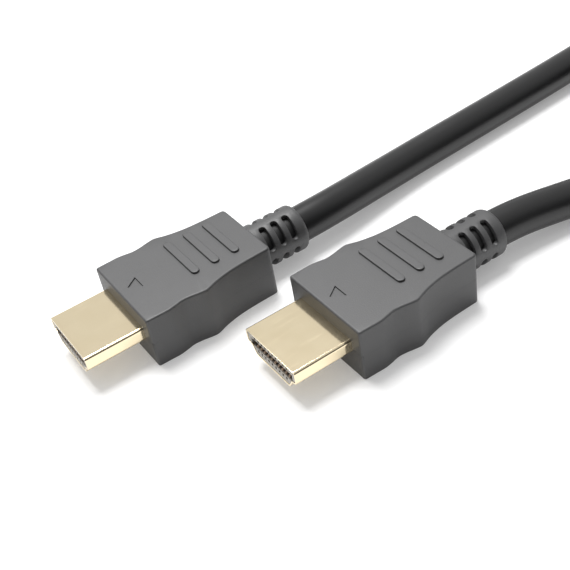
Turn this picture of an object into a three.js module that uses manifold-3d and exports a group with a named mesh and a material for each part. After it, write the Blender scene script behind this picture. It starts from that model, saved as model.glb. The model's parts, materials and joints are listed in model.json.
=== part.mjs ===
import * as THREE from 'three';
import Module from 'manifold-3d';
import { mergeVertices } from 'three/addons/utils/BufferGeometryUtils.js';

// Digital video cable with a moulded plug on each end, in millimetres, +Z up.
// Both plugs lie on the floor with their mouths towards -X. The cable runs off
// towards +X, and its spare length is wound into a coil held by two ties.
// The origin is on the floor under the middle of the two plugs.

// Fits and cuts
const GAP = 0.3;
const OVERCUT = 1.0;

// Metal shell of a plug, a standard size
const SHELL_WIDTH = 13.9;
const SHELL_HEIGHT = 4.45;
const SHELL_LENGTH = 10.7;
const SHELL_WALL = 0.3;
const SHELL_TOP_Z = 7.0;
const SHELL_SIDE_HEIGHT = 2.45;
const SHELL_STEP_WIDTH = 1.2;
const SHELL_STEP_DROP = 0.4;
const SHELL_BASE_WIDTH = 9.4;
const SHELL_CORNER_R = 0.45;

// Insulator inside the shell, with the slot that takes the socket's tongue
const INSULATOR_SETBACK = 0.25;
const SLOT_WIDTH = 11.6;
const SLOT_HEIGHT = 1.3;
const SLOT_DEPTH = 8.6;
const SLOT_ROOF_Z = 5.6;
const WINDOW_WIDTH = 0.5;
const WINDOW_HEIGHT = 0.5;
const WINDOW_DEPTH = 1.2;
const WINDOW_WALL = 0.35;

// Contacts, flat strips on the roof and the floor of the slot
const CONTACT_PITCH = 1.0;
const UPPER_CONTACTS = 10;
const LOWER_CONTACTS = 9;
const CONTACT_WIDTH = 0.45;
const CONTACT_THICKNESS = 0.2;
const CONTACT_LENGTH = 7.0;
const CONTACT_SETBACK = 0.9;

// Overmould: half widths of its plan outline, and where along the plug they lie
const BODY_HEIGHT = 10.0;
const BODY_LENGTH = 24.8;
const BODY_EDGE_R = 0.45;
const FRONT_HALF = 9.4;
const FRONT_CORNER_R = 0.7;
const CHEEK_HALF = 9.5;
const CHEEK_X = 4.4;
const GRIP_HALF = 8.95;
const GRIP_X = 7.2;
const SHOULDER_HALF = 9.5;
const SHOULDER_X = 11.2;
const NECK_HALF = 7.95;
const NECK_X = 18.0;
const REAR_HALF = 7.7;
const REAR_CORNER_R = 1.8;

// Grip ridges on the top of the overmould
const RIDGE_COUNT = 3;
const RIDGE_FIRST_X = 12.45;
const RIDGE_PITCH = 3.96;
const RIDGE_WIDTH = 1.5;
const RIDGE_LENGTH = 11.2;
const RIDGE_OFFSET_Y = 0.9;
const RIDGE_RISE = 0.3;

// Arrow sunk into the top, pointing to the mouth
const ARROW_TIP_X = 1.8;
const ARROW_LENGTH = 2.2;
const ARROW_HALF = 1.55;
const ARROW_Y = 0.55;
const ARROW_DEPTH = 0.25;

// Slotted strain relief behind the overmould
const RELIEF_R = 4.35;
const RELIEF_LENGTH = 10.4;
const RELIEF_END_R = 0.9;
const RELIEF_AXIS_Z = BODY_HEIGHT / 2;
const RELIEF_WALL = 0.95;
const RELIEF_SLOT_X = 3.05;
const RELIEF_SLOT_PITCH = 2.4;
const RELIEF_SLOT_WIDTH = 1.3;
const RELIEF_SLOT_ROWS = 3;
const RELIEF_SLOTS_ROUND = 4;
const RELIEF_SLOT_ANGLE = 64;
const RELIEF_SEGMENTS = 32;
const RELIEF_END_STEPS = 3;

// Where the two plugs lie
const STAGGER_X = 23.2;
const SPACING_Y = 25.6;

// Cable
const CABLE_D = 6.8;
const CABLE_SIDES = 10;
const STEP_LENGTH = 10;

// Coil: three turns on the floor and two in the grooves on top of them
const COIL_MEAN_R = 39.6;
const COIL_LOWER_TURNS = 3;
const COIL_UPPER_TURNS = 2;
const COIL_X = 135.8;
const COIL_Y = -25.6;
const COIL_SEGMENTS = 48;

// Ties round the coil
const TIE_THICKNESS = 1.0;
const TIE_WIDTH = 8.0;
const TIE_SIDE_GAP = 0.7;
const TIE_ANGLES = [50, -50];

const plugMiddleX = (BODY_LENGTH + RELIEF_LENGTH - SHELL_LENGTH) / 2;
const reliefEndX = BODY_LENGTH + RELIEF_LENGTH;
const cableR = CABLE_D / 2;
const coilBaseZ = TIE_THICKNESS + GAP;
const coilLayerRise = CABLE_D * Math.sin(Math.PI / 3);

const PLUGS = [
  { name: 'left', x: -plugMiddleX - STAGGER_X / 2, y: SPACING_Y / 2 },
  { name: 'right', x: -plugMiddleX + STAGGER_X / 2, y: -SPACING_Y / 2 },
];

// Route of each uncoiled stretch, from its strain relief to the coil
const LEFT_ROUTE = [
  [11.35, 12.8, 5.0], [15.2, 12.88, 4.98], [19.2, 13.2, 4.86], [23.6, 13.8, 4.55], [29.2, 14.7, 4.1],
  [36.2, 15.6, 3.68], [43.2, 16.3, 3.49], [51.2, 16.8, 3.45], [66.2, 17.7, 3.45], [81.2, 18.7, 3.45],
  [93.2, 19.5, 3.6], [109.3, 20.15, 4.0],
];
const RIGHT_ROUTE = [
  [34.55, -12.8, 5.0], [38.0, -12.88, 4.97], [41.6, -13.2, 4.8], [45.4, -13.7, 4.42], [49.6, -14.3, 3.98],
  [54.4, -15.15, 3.62], [59.3, -16.3, 3.46], [66.1, -18.9, 3.45], [72.2, -22.9, 3.45], [77.35, -28.05, 3.45],
  [81.35, -34.15, 3.45], [84.1, -40.9, 3.45], [86.0, -45.5, 3.45],
];

const colours = {
  overmould: { color: 0x4a4a4b, roughness: 0.6, metalness: 0 },
  shell: { color: 0xe0cfa4, roughness: 0.25, metalness: 1 },
  insulator: { color: 0x2c2b29, roughness: 0.6, metalness: 0 },
  contact: { color: 0xd9b65c, roughness: 0.3, metalness: 1 },
  cable: { color: 0x1b1b1c, roughness: 0.45, metalness: 0 },
  tie: { color: 0x222224, roughness: 0.9, metalness: 0 },
};

const wasm = await Module();
wasm.setup();

const cable = new THREE.Group();

function makeMesh(name, geometry, finish) {
  const mesh = new THREE.Mesh(geometry, new THREE.MeshStandardMaterial(colours[finish]));
  mesh.name = name;
  return mesh;
}

function toSolid(geometry) {
  const bare = geometry.clone();
  bare.deleteAttribute('normal');
  bare.deleteAttribute('uv');
  const merged = mergeVertices(bare, 1e-4);
  return new wasm.Manifold(new wasm.Mesh({
    numProp: 3,
    vertProperties: new Float32Array(merged.attributes.position.array),
    triVerts: new Uint32Array(merged.index.array),
  }));
}

function toGeometry(solid) {
  const { vertProperties, triVerts } = solid.getMesh();
  const geometry = new THREE.BufferGeometry();
  geometry.setAttribute('position', new THREE.BufferAttribute(new Float32Array(vertProperties), 3));
  geometry.setIndex(new THREE.BufferAttribute(new Uint32Array(triVerts), 1));
  return geometry;
}

function box(x0, x1, y0, y1, z0, z1) {
  const geometry = new THREE.BoxGeometry(x1 - x0, y1 - y0, z1 - z0);
  return geometry.translate((x0 + x1) / 2, (y0 + y1) / 2, (z0 + z1) / 2);
}

// A corner at each point, cut back by the radius and joined with a curve
function roundedShape(points, radius, ShapeClass = THREE.Shape) {
  const shape = new ShapeClass();
  points.forEach((point, i) => {
    const before = points[(i + points.length - 1) % points.length];
    const after = points[(i + 1) % points.length];
    const into = before.clone().sub(point).setLength(radius).add(point);
    const out = after.clone().sub(point).setLength(radius).add(point);
    if (i === 0) shape.moveTo(into.x, into.y);
    else shape.lineTo(into.x, into.y);
    shape.quadraticCurveTo(point.x, point.y, out.x, out.y);
  });
  shape.closePath();
  return shape;
}

// Each side of an outline moved inwards, level sides by one amount, the rest by another
function insetOutline(points, level, other) {
  const sides = points.map((point, i) => {
    const next = points[(i + 1) % points.length];
    const along = next.clone().sub(point).normalize();
    const inward = new THREE.Vector2(-along.y, along.x);
    const amount = Math.abs(along.y) < 1e-6 ? level : other;
    return { start: point.clone().addScaledVector(inward, amount), along };
  });
  return sides.map((side, i) => {
    const last = sides[(i + sides.length - 1) % sides.length];
    const across = last.along.x * side.along.y - last.along.y * side.along.x;
    const offset = side.start.clone().sub(last.start);
    const reach = (offset.x * side.along.y - offset.y * side.along.x) / across;
    return last.start.clone().addScaledVector(last.along, reach);
  });
}

// Outline of the shell seen from the mouth: wide above, stepped in below
function shellOutline() {
  const half = SHELL_WIDTH / 2;
  const baseZ = SHELL_TOP_Z - SHELL_HEIGHT;
  const sideZ = SHELL_TOP_Z - SHELL_SIDE_HEIGHT;
  const rightSide = [
    [SHELL_BASE_WIDTH / 2, baseZ],
    [half - SHELL_STEP_WIDTH, sideZ - SHELL_STEP_DROP],
    [half, sideZ],
    [half, SHELL_TOP_Z],
  ];
  const leftSide = rightSide.map(([y, z]) => [-y, z]).reverse();
  return [...rightSide, ...leftSide].map(([y, z]) => new THREE.Vector2(y, z));
}

// A shape drawn in Y and Z, extruded along X
function extrudeAlongX(shape, x0, x1) {
  const geometry = new THREE.ExtrudeGeometry(shape, {
    depth: x1 - x0, bevelEnabled: false, curveSegments: 4,
  });
  const turn = new THREE.Matrix4().makeBasis(
    new THREE.Vector3(0, 1, 0), new THREE.Vector3(0, 0, 1), new THREE.Vector3(1, 0, 0),
  );
  return geometry.applyMatrix4(turn).translate(x0, 0, 0);
}

function shellGeometry() {
  const outline = shellOutline();
  const shape = roundedShape(outline, SHELL_CORNER_R);
  const inner = insetOutline(outline, SHELL_WALL, SHELL_WALL);
  shape.holes.push(roundedShape(inner, SHELL_CORNER_R - SHELL_WALL / 2, THREE.Path));
  return extrudeAlongX(shape, -SHELL_LENGTH, 0);
}

function contactY(index, count) {
  return (index - (count - 1) / 2) * CONTACT_PITCH;
}

// The insulator lies on the shell's flat walls and keeps clear of its slanting ones
function insulatorGeometry() {
  const outline = insetOutline(shellOutline(), SHELL_WALL, SHELL_WALL + GAP);
  const frontX = -SHELL_LENGTH + INSULATOR_SETBACK;
  let solid = toSolid(extrudeAlongX(roundedShape(outline, SHELL_CORNER_R), frontX, 0));
  const slotFloorZ = SLOT_ROOF_Z - SLOT_HEIGHT;
  const cut = (...sides) => { solid = solid.subtract(toSolid(box(...sides))); };
  cut(frontX - OVERCUT, frontX + SLOT_DEPTH, -SLOT_WIDTH / 2, SLOT_WIDTH / 2, slotFloorZ, SLOT_ROOF_Z);
  const window = (y, z) => cut(
    frontX - OVERCUT, frontX + WINDOW_DEPTH, y - WINDOW_WIDTH / 2, y + WINDOW_WIDTH / 2, z, z + WINDOW_HEIGHT,
  );
  for (let i = 0; i < UPPER_CONTACTS; i += 1) window(contactY(i, UPPER_CONTACTS), SLOT_ROOF_Z + WINDOW_WALL);
  for (let i = 0; i < LOWER_CONTACTS; i += 1) {
    window(contactY(i, LOWER_CONTACTS), slotFloorZ - WINDOW_WALL - WINDOW_HEIGHT);
  }
  return toGeometry(solid);
}

function contactGeometry(y, lowZ) {
  const x0 = -SHELL_LENGTH + INSULATOR_SETBACK + CONTACT_SETBACK;
  return box(
    x0, x0 + CONTACT_LENGTH, y - CONTACT_WIDTH / 2, y + CONTACT_WIDTH / 2, lowZ, lowZ + CONTACT_THICKNESS,
  );
}

// Plan outline of the overmould: square front, grip hollow, shoulder, narrow rear
function bodyShape() {
  const side = [
    [CHEEK_X, CHEEK_HALF], [GRIP_X, GRIP_HALF], [SHOULDER_X, SHOULDER_HALF],
    [NECK_X, NECK_HALF], [BODY_LENGTH - REAR_CORNER_R, REAR_HALF],
  ];
  const nearSide = side.map(([x, half]) => new THREE.Vector2(x, -half));
  const farSide = side.map(([x, half]) => new THREE.Vector2(x, half)).reverse();
  const shape = new THREE.Shape();
  shape.moveTo(0, FRONT_HALF - FRONT_CORNER_R);
  shape.lineTo(0, -FRONT_HALF + FRONT_CORNER_R);
  shape.quadraticCurveTo(0, -FRONT_HALF, FRONT_CORNER_R, -FRONT_HALF);
  shape.splineThru(nearSide);
  shape.quadraticCurveTo(BODY_LENGTH, -REAR_HALF, BODY_LENGTH, -REAR_HALF + REAR_CORNER_R);
  shape.lineTo(BODY_LENGTH, REAR_HALF - REAR_CORNER_R);
  shape.quadraticCurveTo(BODY_LENGTH, REAR_HALF, BODY_LENGTH - REAR_CORNER_R, REAR_HALF);
  shape.splineThru([...farSide.slice(1), new THREE.Vector2(FRONT_CORNER_R, FRONT_HALF)]);
  shape.quadraticCurveTo(0, FRONT_HALF, 0, FRONT_HALF - FRONT_CORNER_R);
  return shape;
}

function bodySolid() {
  const geometry = new THREE.ExtrudeGeometry(bodyShape(), {
    depth: BODY_HEIGHT - 2 * BODY_EDGE_R,
    bevelThickness: BODY_EDGE_R,
    bevelSize: BODY_EDGE_R,
    bevelOffset: -BODY_EDGE_R,
    bevelSegments: 2,
    curveSegments: 4,
  });
  return toSolid(geometry.translate(0, 0, BODY_EDGE_R));
}

function ridgeSolid(index) {
  const r = RIDGE_WIDTH / 2;
  const reach = RIDGE_LENGTH / 2 - r;
  const shape = new THREE.Shape();
  shape.absarc(0, reach, r, 0, Math.PI);
  shape.absarc(0, -reach, r, Math.PI, 2 * Math.PI);
  shape.closePath();
  const geometry = new THREE.ExtrudeGeometry(shape, {
    depth: RIDGE_RISE + BODY_EDGE_R, bevelEnabled: false, curveSegments: 8,
  });
  const x = RIDGE_FIRST_X + index * RIDGE_PITCH;
  return toSolid(geometry.translate(x, RIDGE_OFFSET_Y, BODY_HEIGHT - BODY_EDGE_R));
}

function arrowSolid() {
  const shape = new THREE.Shape();
  shape.moveTo(ARROW_TIP_X, ARROW_Y);
  shape.lineTo(ARROW_TIP_X + ARROW_LENGTH, ARROW_Y - ARROW_HALF);
  shape.lineTo(ARROW_TIP_X + ARROW_LENGTH, ARROW_Y + ARROW_HALF);
  shape.closePath();
  const geometry = new THREE.ExtrudeGeometry(shape, { depth: ARROW_DEPTH + OVERCUT, bevelEnabled: false });
  return toSolid(geometry.translate(0, 0, BODY_HEIGHT - ARROW_DEPTH));
}

function reliefSolid() {
  const startX = BODY_LENGTH - REAR_CORNER_R;
  const profile = [new THREE.Vector2(0, startX), new THREE.Vector2(RELIEF_R, startX)];
  for (let i = 0; i <= RELIEF_END_STEPS; i += 1) {
    const a = (i / RELIEF_END_STEPS) * Math.PI / 2;
    profile.push(new THREE.Vector2(
      RELIEF_R - RELIEF_END_R + RELIEF_END_R * Math.cos(a),
      reliefEndX - RELIEF_END_R + RELIEF_END_R * Math.sin(a),
    ));
  }
  profile.push(new THREE.Vector2(0, reliefEndX));
  const geometry = new THREE.LatheGeometry(profile, RELIEF_SEGMENTS);
  return toSolid(geometry.rotateZ(-Math.PI / 2).translate(0, 0, RELIEF_AXIS_Z));
}

// One slot of the strain relief: part of a ring, cut from outside
function reliefSlotSolid(row, place) {
  const half = THREE.MathUtils.degToRad(RELIEF_SLOT_ANGLE / 2);
  const middle = ((place + 0.5) / RELIEF_SLOTS_ROUND) * 2 * Math.PI;
  const shape = new THREE.Shape();
  shape.absarc(0, 0, RELIEF_R + OVERCUT, middle - half, middle + half, false);
  shape.absarc(0, 0, RELIEF_R - RELIEF_WALL, middle + half, middle - half, true);
  shape.closePath();
  const x = BODY_LENGTH + RELIEF_SLOT_X + row * RELIEF_SLOT_PITCH;
  const geometry = extrudeAlongX(shape, x - RELIEF_SLOT_WIDTH / 2, x + RELIEF_SLOT_WIDTH / 2);
  return toSolid(geometry.translate(0, 0, RELIEF_AXIS_Z));
}

function overmouldGeometry() {
  let solid = bodySolid().add(reliefSolid());
  for (let i = 0; i < RIDGE_COUNT; i += 1) solid = solid.add(ridgeSolid(i));
  for (let row = 0; row < RELIEF_SLOT_ROWS; row += 1) {
    for (let place = 0; place < RELIEF_SLOTS_ROUND; place += 1) {
      solid = solid.subtract(reliefSlotSolid(row, place));
    }
  }
  return toGeometry(solid.subtract(arrowSolid()));
}

function makePlug({ name, x, y }) {
  const plug = new THREE.Group();
  plug.position.set(x, y, 0);
  plug.add(makeMesh(`${name}_overmould`, overmouldGeometry(), 'overmould'));
  plug.add(makeMesh(`${name}_shell`, shellGeometry(), 'shell'));
  plug.add(makeMesh(`${name}_insulator`, insulatorGeometry(), 'insulator'));
  for (let i = 0; i < UPPER_CONTACTS; i += 1) {
    const geometry = contactGeometry(contactY(i, UPPER_CONTACTS), SLOT_ROOF_Z - CONTACT_THICKNESS);
    plug.add(makeMesh(`${name}_upper_contact_${i + 1}`, geometry, 'contact'));
  }
  for (let i = 0; i < LOWER_CONTACTS; i += 1) {
    const geometry = contactGeometry(contactY(i, LOWER_CONTACTS), SLOT_ROOF_Z - SLOT_HEIGHT);
    plug.add(makeMesh(`${name}_lower_contact_${i + 1}`, geometry, 'contact'));
  }
  return plug;
}

// A stretch of cable along its route, with the tube's end just off the strain relief
function cableGeometry(route) {
  const points = route.map(([x, y, z]) => new THREE.Vector3(x, y, z));
  points[0].x += GAP;
  const path = new THREE.CatmullRomCurve3(points, false, 'centripetal');
  const section = new THREE.Shape();
  for (let i = 0; i < CABLE_SIDES; i += 1) {
    const a = (i / CABLE_SIDES) * 2 * Math.PI;
    const corner = [cableR * Math.cos(a), cableR * Math.sin(a)];
    if (i === 0) section.moveTo(...corner);
    else section.lineTo(...corner);
  }
  section.closePath();
  const steps = Math.round(path.getLength() / STEP_LENGTH);
  return new THREE.ExtrudeGeometry(section, { steps, extrudePath: path, bevelEnabled: false });
}

// Outline of the wound turns cut across: wide below, narrower above, all corners round.
// The first number is the distance from the coil's axis.
function coilOutline() {
  const lowerHalf = (COIL_LOWER_TURNS * CABLE_D) / 2;
  const upperHalf = (COIL_UPPER_TURNS * CABLE_D) / 2;
  const topZ = coilBaseZ + CABLE_D + coilLayerRise;
  const outerSide = [[lowerHalf, coilBaseZ], [lowerHalf, coilBaseZ + CABLE_D], [upperHalf, topZ]];
  const innerSide = outerSide.map(([across, z]) => [-across, z]).reverse();
  return [...outerSide, ...innerSide].map(([across, z]) => new THREE.Vector2(COIL_MEAN_R + across, z));
}

function coilGeometry() {
  const profile = roundedShape(coilOutline(), cableR / 2).getPoints(3);
  return new THREE.LatheGeometry(profile, COIL_SEGMENTS).rotateX(Math.PI / 2);
}

// A strap round the coil's section, at one angle of the coil
function tieGeometry(angle) {
  const inner = insetOutline(coilOutline(), -GAP, -TIE_SIDE_GAP);
  const shape = roundedShape(insetOutline(inner, -TIE_THICKNESS, -TIE_THICKNESS), cableR / 2);
  shape.holes.push(roundedShape(inner, cableR / 2, THREE.Path));
  const geometry = new THREE.ExtrudeGeometry(shape, {
    depth: TIE_WIDTH, bevelEnabled: false, curveSegments: 3,
  });
  geometry.translate(0, 0, -TIE_WIDTH / 2).rotateX(Math.PI / 2);
  return geometry.rotateZ(THREE.MathUtils.degToRad(angle));
}

for (const plug of PLUGS) cable.add(makePlug(plug));
cable.add(makeMesh('left_cable_run', cableGeometry(LEFT_ROUTE), 'cable'));
cable.add(makeMesh('right_cable_run', cableGeometry(RIGHT_ROUTE), 'cable'));

const coil = new THREE.Group();
coil.position.set(COIL_X, COIL_Y, 0);
coil.add(makeMesh('cable_coil', coilGeometry(), 'cable'));
TIE_ANGLES.forEach((angle, i) => coil.add(makeMesh(`coil_tie_${i + 1}`, tieGeometry(angle), 'tie')));
cable.add(coil);

export default cable;
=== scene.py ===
# %% [markdown]
# # A video cable with a moulded plug on each end
# This notebook dresses a cable whose solids already exist at their real size. Each step first
# says what the real piece is and how it could be made, and then makes it in a short cell.
# Everything is in metres, with the floor at z = 0 and both plug mouths towards -X.

# %% Load the solids
import json
import math

import bmesh
import bpy
import numpy as np
from mathutils import Matrix, Vector
from mathutils.geometry import delaunay_2d_cdt
from mathutils.kdtree import KDTree

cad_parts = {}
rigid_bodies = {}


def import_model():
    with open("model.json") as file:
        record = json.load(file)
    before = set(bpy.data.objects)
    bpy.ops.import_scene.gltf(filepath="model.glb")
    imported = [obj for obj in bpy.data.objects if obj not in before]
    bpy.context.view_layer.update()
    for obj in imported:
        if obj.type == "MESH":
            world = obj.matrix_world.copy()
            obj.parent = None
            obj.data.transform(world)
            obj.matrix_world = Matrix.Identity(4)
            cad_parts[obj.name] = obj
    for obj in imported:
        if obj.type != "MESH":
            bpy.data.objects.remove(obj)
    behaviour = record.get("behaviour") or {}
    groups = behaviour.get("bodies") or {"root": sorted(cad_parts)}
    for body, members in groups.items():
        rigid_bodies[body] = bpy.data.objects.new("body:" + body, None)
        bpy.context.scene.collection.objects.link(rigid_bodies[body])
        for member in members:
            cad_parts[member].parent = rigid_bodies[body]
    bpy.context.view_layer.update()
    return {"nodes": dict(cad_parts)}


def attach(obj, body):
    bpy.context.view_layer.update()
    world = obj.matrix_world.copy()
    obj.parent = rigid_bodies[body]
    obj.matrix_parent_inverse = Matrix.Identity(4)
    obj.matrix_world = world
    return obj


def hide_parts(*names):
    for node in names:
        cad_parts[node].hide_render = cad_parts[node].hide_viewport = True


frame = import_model()
MM = 0.001

# %% [markdown]
# ## The camera
# A photograph is matched best by finding where its camera stood. The two plugs are the same
# size and lie parallel, so their corners fix the camera's place, its tilt and how strongly it
# enlarges. The picture is square, and the lens below is given for a sensor 36 mm wide.

# %% Place the camera
PICTURE_SIDE = 570
FOCAL_PIXELS = 1013.6
SENSOR_WIDTH = 36.0
CAMERA_PLACE = Vector((-59.54, -116.90, 113.60)) * MM
CAMERA_AZIMUTH = math.radians(62.97)
CAMERA_DIP = math.radians(39.48)
CAMERA_ROLL = math.radians(-11.12)


def camera_turn(azimuth, dip, roll):
    """The camera's rotation from the compass direction it looks in, how far down, and its roll."""
    ahead = Vector((math.cos(azimuth) * math.cos(dip), math.sin(azimuth) * math.cos(dip), -math.sin(dip)))
    level = ahead.cross(Vector((0, 0, 1))).normalized()
    above = level.cross(ahead)
    right = level * math.cos(roll) + above * math.sin(roll)
    up = right.cross(ahead)
    return Matrix((right, up, -ahead)).transposed()


camera_data = bpy.data.cameras.new("camera")
camera_data.sensor_width = SENSOR_WIDTH
camera_data.lens = SENSOR_WIDTH * FOCAL_PIXELS / PICTURE_SIDE
camera_data.clip_start = 0.005
camera = bpy.data.objects.new("camera", camera_data)
turn = camera_turn(CAMERA_AZIMUTH, CAMERA_DIP, CAMERA_ROLL)
camera.matrix_world = Matrix.Translation(CAMERA_PLACE) @ turn.to_4x4()
bpy.context.scene.collection.objects.link(camera)
bpy.context.scene.camera = camera
print("lens", round(camera_data.lens, 2), "mm")

# %% [markdown]
# ## The cable's route
# A cable is a fixed length of something springy. It leaves its plug straight, sinks to the
# floor, and its spare length is wound into a coil. The free stretches follow given points. The
# coil is worked out turn by turn: the first turns lie side by side on the ties, just
# off the floor, and the last ones lie in the grooves on top of them, as round things stack.

# %% Route of the free stretches
CABLE_D = 6.8 * MM
CABLE_R = CABLE_D / 2
LEFT_ROUTE = [
    (0.01135, 0.0128, 0.0050), (0.0152, 0.01288, 0.00498), (0.0192, 0.0132, 0.00486),
    (0.0236, 0.0138, 0.00455), (0.0292, 0.0147, 0.0041), (0.0362, 0.0156, 0.00368),
    (0.0432, 0.0163, 0.00349), (0.0512, 0.0168, 0.00345), (0.0662, 0.0177, 0.00345),
    (0.0812, 0.0187, 0.00345), (0.0932, 0.0195, 0.0036), (0.1093, 0.02015, 0.0040),
]
RIGHT_ROUTE = [
    (0.03455, -0.0128, 0.0050), (0.0380, -0.01288, 0.00497), (0.0416, -0.0132, 0.0048),
    (0.0454, -0.0137, 0.00442), (0.0496, -0.0143, 0.00398), (0.0544, -0.01515, 0.00362),
    (0.0593, -0.0163, 0.00346), (0.0661, -0.0189, 0.00345), (0.0722, -0.0229, 0.00345),
    (0.07735, -0.02805, 0.00345), (0.08135, -0.03415, 0.00345), (0.0841, -0.0409, 0.00345),
    (0.0860, -0.0455, 0.00345),
]
print("points by hand:", len(LEFT_ROUTE), "and", len(RIGHT_ROUTE))

# %% Turns of the coil
COIL_CENTRE = Vector((135.8, -25.6, 0.0)) * MM
COIL_MEAN_R = 39.6 * MM
COIL_TURNS = 4.5
COIL_POINTS_PER_TURN = 48
TIE_THICKNESS = 1.0 * MM
CLEARANCE = 0.1 * MM
LOWER_Z = TIE_THICKNESS + CABLE_R + CLEARANCE
UPPER_RISE = CABLE_D * math.sin(math.radians(60))
OUTER_R = COIL_MEAN_R + CABLE_D
CLIMB_AT, STEP_OUT_AT = 2.5, 3.5
CLIMB_FROM, CLIMB_PART = 0.5, 0.25
STEP_IN_FROM, STEP_IN_PART = 0.8, 0.2


def ease(t):
    """0 to 1 with level ends, for a turn that moves over to the next place."""
    t = min(max(t, 0.0), 1.0)
    return t * t * (3 - 2 * t)


def over(lower_r, r):
    """Height of a turn at radius r that rests on a lower turn at lower_r."""
    return LOWER_Z + math.sqrt(max(CABLE_D ** 2 - (r - lower_r) ** 2, 0.0))


def turn_place(u):
    """Radius and height after u turns. Lower turns step in just before each full turn. The
    climb to the upper layer and the step out on it happen over the turn's third quarter."""
    lap, part = int(u), u - int(u)
    step_in = ease((part - STEP_IN_FROM) / STEP_IN_PART)
    quarter = ease((part - CLIMB_FROM) / CLIMB_PART)
    if u < CLIMB_AT:
        return OUTER_R - CABLE_D * (lap + step_in), LOWER_Z
    if u < STEP_OUT_AT:
        roll = math.radians(180 - 60 * (quarter if lap == 2 else 1.0))
        r = COIL_MEAN_R + CABLE_D * math.cos(roll)
        z = LOWER_Z + CABLE_D * math.sin(roll)
        if lap == 2 and part > STEP_IN_FROM:
            z = max(z, over(COIL_MEAN_R - CABLE_D * step_in, r))
        return r, z
    r = COIL_MEAN_R + CABLE_D * (-0.5 + (quarter if lap == 3 else 1.0))
    if lap == 3 and part < STEP_IN_FROM:
        return r, over(COIL_MEAN_R, r)
    under = OUTER_R - CABLE_D * (step_in if lap == 3 else 0.0)
    return r, over(under, r)


def coil_point(angle, r, z):
    return COIL_CENTRE + Vector((r * math.cos(angle), r * math.sin(angle), z))


coil_turns = []
for i in range(int(COIL_TURNS * COIL_POINTS_PER_TURN) + 1):
    u = i / COIL_POINTS_PER_TURN
    coil_turns.append(coil_point(math.radians(90 - 360 * u), *turn_place(u)))
print("coil:", len(coil_turns), "points,", COIL_TURNS, "turns")

# %% [markdown]
# The last turn leaves the top of the coil. It rolls down over the outermost lower turn and
# lies beside it on the floor, which is the long low hump that a real cable makes there.

# %% The way off the coil
LEAVE_FROM = -90.0
LEAVE_TO = -158.0
LEAVE_POINTS = 14
FIRST_ROLL = 120.0
LAST_ROLL = -7.0
LEAVE_REACH = 7.35 * MM

leaving = []
for i in range(1, LEAVE_POINTS):
    t = i / LEAVE_POINTS
    roll = math.radians(FIRST_ROLL + (LAST_ROLL - FIRST_ROLL) * ease(t))
    reach = CABLE_D + (LEAVE_REACH - CABLE_D) * ease(t)
    angle = math.radians(LEAVE_FROM + (LEAVE_TO - LEAVE_FROM) * t)
    leaving.append(coil_point(angle, OUTER_R + reach * math.cos(roll), LOWER_Z + reach * math.sin(roll)))
print("way off the coil:", len(leaving), "points")

# %% One smooth line
ROUTE_STEP = 2.0 * MM
SMOOTH_REACH = 4


def smooth_line(points, step, reach):
    """A curve through the points, cut into equal steps, with its corners averaged away."""
    points = np.array([tuple(p) for p in points])
    along = np.concatenate([[0], np.cumsum(np.linalg.norm(np.diff(points, axis=0), axis=1))])
    slopes = np.gradient(points, along, axis=0)
    count = int(along[-1] / step) + 1
    places = np.linspace(0, along[-1], count)
    i = np.clip(np.searchsorted(along, places, side="right") - 1, 0, len(points) - 2)
    gap = (along[i + 1] - along[i])[:, None]
    t = ((places - along[i]) / (along[i + 1] - along[i]))[:, None]
    line = (
        (2 * t ** 3 - 3 * t ** 2 + 1) * points[i] + (t ** 3 - 2 * t ** 2 + t) * gap * slopes[i]
        + (-2 * t ** 3 + 3 * t ** 2) * points[i + 1] + (t ** 3 - t ** 2) * gap * slopes[i + 1]
    )
    for _ in range(reach):
        line[1:-1] = (line[:-2] + 2 * line[1:-1] + line[2:]) / 4
    return line


route = smooth_line(LEFT_ROUTE + coil_turns + leaving + RIGHT_ROUTE[::-1], ROUTE_STEP, SMOOTH_REACH)

# %% [markdown]
# ## Finishes as arithmetic
# A finish is a small calculation: how much light grey, how rough, how bumpy at each place. The
# calculation is easiest to read as arithmetic, so one class lets a shader socket take the
# usual signs, and one method makes every other node.

# %% Sockets that take arithmetic
class Signal:
    """A shader socket that can be added, multiplied and so on. Each sign adds a Math node."""

    def __init__(self, finish, socket):
        self.finish = finish
        self.socket = socket

    def of(self, name):
        """Another output of the same node."""
        return Signal(self.finish, self.socket.node.outputs[name])

    def maths(self, operation, *values, clamped=False):
        return self.finish.node("ShaderNodeMath", {"operation": operation, "use_clamp": clamped}, *values)

    def __add__(self, other):
        return self.maths("ADD", self, other)

    __radd__ = __add__

    def __mul__(self, other):
        return self.maths("MULTIPLY", self, other)

    __rmul__ = __mul__

    def __sub__(self, other):
        return self.maths("SUBTRACT", self, other)

    def __rsub__(self, other):
        return self.maths("SUBTRACT", other, self)

    def __pow__(self, other):
        return self.maths("POWER", self, other)

    def sine(self):
        return self.maths("SINE", self)

    def between(self, low, high):
        """0 below low, 1 above high, and a straight climb from one to the other."""
        return self.maths("DIVIDE", self - low, high - low, clamped=True)


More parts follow.
